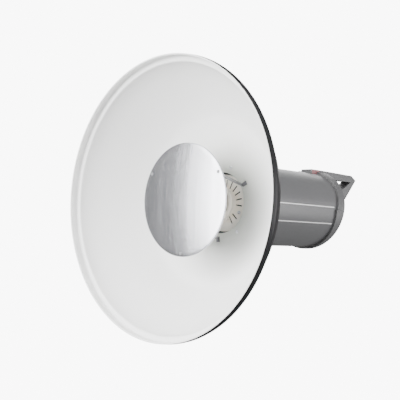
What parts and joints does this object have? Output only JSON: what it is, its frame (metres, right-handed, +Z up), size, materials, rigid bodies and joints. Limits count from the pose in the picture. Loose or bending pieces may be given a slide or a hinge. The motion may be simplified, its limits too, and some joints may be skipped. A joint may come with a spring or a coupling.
{
  "type": "monolight strobe",
  "caption": "Monolight studio flash with a beauty dish on a bayonet, a loop handle, a rear control panel and a tilting stand bracket.",
  "frame": {"origin": "centre of the mouth of the stand socket, where the stand's spigot enters", "axes": "+Z up along the stand, +Y rearwards along the light axis, so that the dish faces -Y"},
  "size_m": [0.4199, 0.51, 0.42],
  "materials": {
    "dish_enamel": "spun aluminium, satin white enamel inside, black outside",
    "black_steel": "satin black",
    "bright_steel": "plain steel",
    "brushed_aluminium": "vertically brushed",
    "black_plastic": "fine grain",
    "dark_casting": "cast aluminium, satin grey powder coat",
    "pan_enamel": "cream enamel",
    "frosted_glass": "frosted",
    "ceramic": "glazed steatite",
    "nickel": "nickel plated",
    "shell_paint": "extruded aluminium, satin grey powder coat with two white lines",
    "tray_aluminium": "mill finish",
    "capacitor_sleeve": "shrink sleeve",
    "board_green": "solder mask",
    "brass": "plain",
    "ferrite": "matt",
    "winding": "enamelled copper",
    "cover_plastic": "fine moulded grain",
    "red_plastic": "satin",
    "panel_black": "satin",
    "display_glass": "gloss",
    "dial_plastic": "fluted",
    "key_rubber": "matt",
    "sensor_dome": "dark translucent",
    "bracket_paint": "cast aluminium, black powder coat",
    "washer_nylon": "plain"
  },
  "bodies": {
    "stand_bracket": {"stand_yoke": "bracket_paint", "tilt_bolt": "bright_steel", "tilt_washers": "washer_nylon"},
    "tilt_knob": {"tilt_knob": "black_plastic"},
    "stand_knob": {"stand_knob": "black_plastic"},
    "umbrella_knob": {"umbrella_knob": "black_plastic"},
    "dish": {"dish_shell": "dish_enamel", "dish_mount_ring": "black_steel", "ring_rivets": "bright_steel", "deflector_disc": "brushed_aluminium", "deflector_posts": "brushed_aluminium", "deflector_rivets": "bright_steel"},
    "release": {"lock_pin": "bright_steel", "release_slider": "black_plastic", "release_spring": "bright_steel"},
    "fan": {"fan_rotor": "black_plastic"},
    "dial": {"control_dial": "dial_plastic"},
    "mode_key": {"button_mode": "key_rubber"},
    "lamp_key": {"button_lamp": "key_rubber"},
    "slave_key": {"button_slave": "key_rubber"},
    "sound_key": {"button_sound": "key_rubber"},
    "test_key": {"test_button": "red_plastic"},
    "power_switch": {"power_rocker": "black_plastic"},
    "head": {"mount_receiver": "black_steel", "receiver_screws": "bright_steel", "front_collar": "dark_casting", "flash_pan": "pan_enamel", "pan_screws": "bright_steel", "flash_tube": "frosted_glass", "tube_sockets": "ceramic", "socket_plate": "black_steel", "lamp_bulb": "frosted_glass", "lamp_base": "nickel", "lamp_socket": "ceramic", "main_shell": "shell_paint", "chassis_tray": "tray_aluminium", "flash_capacitors": "capacitor_sleeve", "main_board": "board_green", "board_standoffs": "brass", "transformer_core": "ferrite", "transformer_winding": "winding", "heat_sink": "tray_aluminium", "power_transistors": "black_plastic", "trigger_coil": "winding", "fan_frame": "black_plastic", "rear_cover_upper": "cover_plastic", "handle_insert": "red_plastic", "rear_cover_lower": "cover_plastic", "control_panel": "panel_black", "control_board": "board_green", "display_window": "display_glass", "ac_inlet": "black_plastic", "inlet_contacts": "nickel", "fuse_cap": "black_plastic", "sync_jack": "nickel", "slave_sensor": "sensor_dome", "panel_screws": "bright_steel", "tilt_saddle": "bracket_paint", "saddle_screws": "bright_steel"}
  },
  "joints": [
    {"name": "head_tilt", "type": "hinge", "parent": "stand_bracket", "child": "head", "pos_m": [0, 0, 0.056], "axis": [1, 0, 0], "range_deg": [-90, 30]},
    {"name": "tilt_knob_turn", "type": "hinge", "parent": "stand_bracket", "child": "tilt_knob", "pos_m": [-0.03, 0, 0.056], "axis": [1, 0, 0], "range_deg": [0, 180]},
    {"name": "stand_knob_turn", "type": "hinge", "parent": "stand_bracket", "child": "stand_knob", "pos_m": [-0.02, 0, 0.015], "axis": [-1, 0, 0], "range_deg": [-360, 0]},
    {"name": "umbrella_knob_turn", "type": "hinge", "parent": "head", "child": "umbrella_knob", "pos_m": [0.03, 0, 0.076], "axis": [1, 0, 0], "range_deg": [-360, 0]},
    {"name": "dish_twist", "type": "hinge", "parent": "head", "child": "dish", "pos_m": [0, -0.034, 0.15], "axis": [0, 1, 0], "range_deg": [0, 40]},
    {"name": "release_slide", "type": "slide", "parent": "head", "child": "release", "axis": [0, 1, 0], "range_m": [0, 0.0041]},
    {"name": "fan_spin", "type": "hinge", "parent": "head", "child": "fan", "pos_m": [0, 0.1655, 0.156], "axis": [0, 1, 0], "continuous": true},
    {"name": "dial_turn", "type": "hinge", "parent": "head", "child": "dial", "pos_m": [0, 0.20141, 0.1047], "axis": [0, 0.9848, -0.1736], "continuous": true},
    {"name": "rocker_press", "type": "hinge", "parent": "head", "child": "power_switch", "pos_m": [0.022, 0.2094, 0.18453], "axis": [1, 0, 0], "range_deg": [0, 20]},
    {"name": "mode_press", "type": "slide", "parent": "head", "child": "mode_key", "axis": [0, -0.9848, 0.1736], "range_m": [0, 0.001], "stiffness_N_per_m": 400, "springref_m": -0.001},
    {"name": "lamp_press", "type": "slide", "parent": "head", "child": "lamp_key", "axis": [0, -0.9848, 0.1736], "range_m": [0, 0.001], "stiffness_N_per_m": 400, "springref_m": -0.001},
    {"name": "slave_press", "type": "slide", "parent": "head", "child": "slave_key", "axis": [0, -0.9848, 0.1736], "range_m": [0, 0.001], "stiffness_N_per_m": 400, "springref_m": -0.001},
    {"name": "sound_press", "type": "slide", "parent": "head", "child": "sound_key", "axis": [0, -0.9848, 0.1736], "range_m": [0, 0.001], "stiffness_N_per_m": 400, "springref_m": -0.001},
    {"name": "test_press", "type": "slide", "parent": "head", "child": "test_key", "axis": [0, -0.9848, 0.1736], "range_m": [0, 0.001], "stiffness_N_per_m": 400, "springref_m": -0.001}
  ],
  "couplings": [
    {"joint": "release_slide", "follows": "dish_twist", "m_per_rad": 0.0057296}
  ]
}
